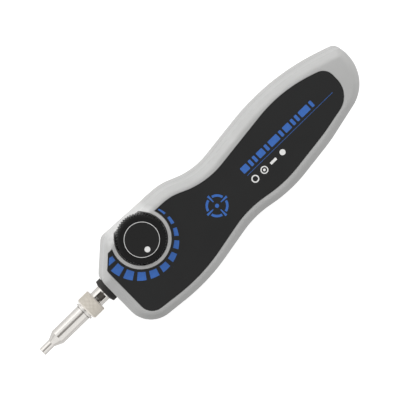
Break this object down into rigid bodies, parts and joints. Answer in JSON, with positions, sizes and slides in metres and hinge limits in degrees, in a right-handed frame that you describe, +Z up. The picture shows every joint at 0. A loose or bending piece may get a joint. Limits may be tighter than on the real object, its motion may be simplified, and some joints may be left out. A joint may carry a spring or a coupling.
{
  "type": "fiber inspection microscope",
  "caption": "Handheld fiber inspection microscope: a waisted plastic housing with a focus knob on top and a plated nose whose interchangeable tip is held by a knurled nut.",
  "frame": {"origin": "middle of the whole object's box, on the surface that the housing's back lies on", "axes": "+X from the tip to the tail along the optical axis, +Y across to the side that the knob overhangs, +Z up out of the labelled face, along the knob's axis"},
  "size_m": [0.155, 0.0372, 0.0298],
  "materials": {
    "shell_plastic": "fine moulded texture",
    "overlay_film": "satin printed film",
    "knob_plastic": "fine moulded texture",
    "nickel_plate": "bright nickel plate",
    "collar_rubber": "matt black",
    "bush_brass": "turned",
    "steel": "bright",
    "frame_alloy": "milled",
    "slide_plastic": "moulded, low friction",
    "lens_black": "black anodised",
    "optical_glass": "polished",
    "lamp_resin": "clear resin",
    "board_laminate": "green solder mask",
    "chip_black": "moulded package",
    "ribbon_film": "polyimide film"
  },
  "bodies": {
    "housing": {"upper_shell": "shell_plastic", "lower_shell": "shell_plastic", "grip_pads": "collar_rubber", "face_overlay": "overlay_film", "nose_collar": "collar_rubber", "nosepiece": "nickel_plate", "nosepiece_locknut": "bush_brass", "optics_frame": "frame_alloy", "guide_rods": "steel", "beam_splitter": "optical_glass", "led_board": "board_laminate", "lamp_led": "lamp_resin", "camera_board": "board_laminate", "image_sensor": "chip_black", "sensor_ribbon": "ribbon_film", "main_board": "board_laminate", "processor_chip": "chip_black", "ribbon_connector": "chip_black", "data_socket": "steel", "shaft_bush": "bush_brass", "friction_washer": "slide_plastic", "shell_screws": "steel", "frame_screws": "steel", "board_screws": "steel"},
    "knob": {"focus_knob": "knob_plastic", "knob_cap": "knob_plastic", "knob_screw": "steel", "focus_shaft": "steel"},
    "carriage": {"focus_carriage": "slide_plastic", "lens_barrel": "lens_black", "objective_lens": "optical_glass", "relay_lens": "optical_glass", "lens_retainer": "lens_black"},
    "tip": {"tip_barrel": "nickel_plate", "nut_retaining_ring": "nickel_plate"},
    "nut": {"coupling_nut": "nickel_plate"}
  },
  "joints": [
    {"name": "focus_turn", "type": "hinge", "parent": "housing", "child": "knob", "pos_m": [-0.0229, 0.00949, 0.026], "axis": [0, 0, 1], "range_deg": [-83, 113]},
    {"name": "carriage_slide", "type": "slide", "parent": "housing", "child": "carriage", "axis": [1, 0, 0], "range_m": [-0.0022, 0.003]},
    {"name": "tip_slide", "type": "slide", "parent": "housing", "child": "tip", "axis": [-1, 0, 0], "range_m": [0, 0.0035]},
    {"name": "nut_turn", "type": "hinge", "parent": "tip", "child": "nut", "pos_m": [-0.0528, 0.00339, 0.013], "axis": [-1, 0, 0], "range_deg": [0, 2520]}
  ],
  "couplings": [
    {"joint": "carriage_slide", "follows": "focus_turn", "m_per_rad": 0.0015},
    {"joint": "nut_turn", "follows": "tip_slide", "rad_per_m": 12566}
  ]
}
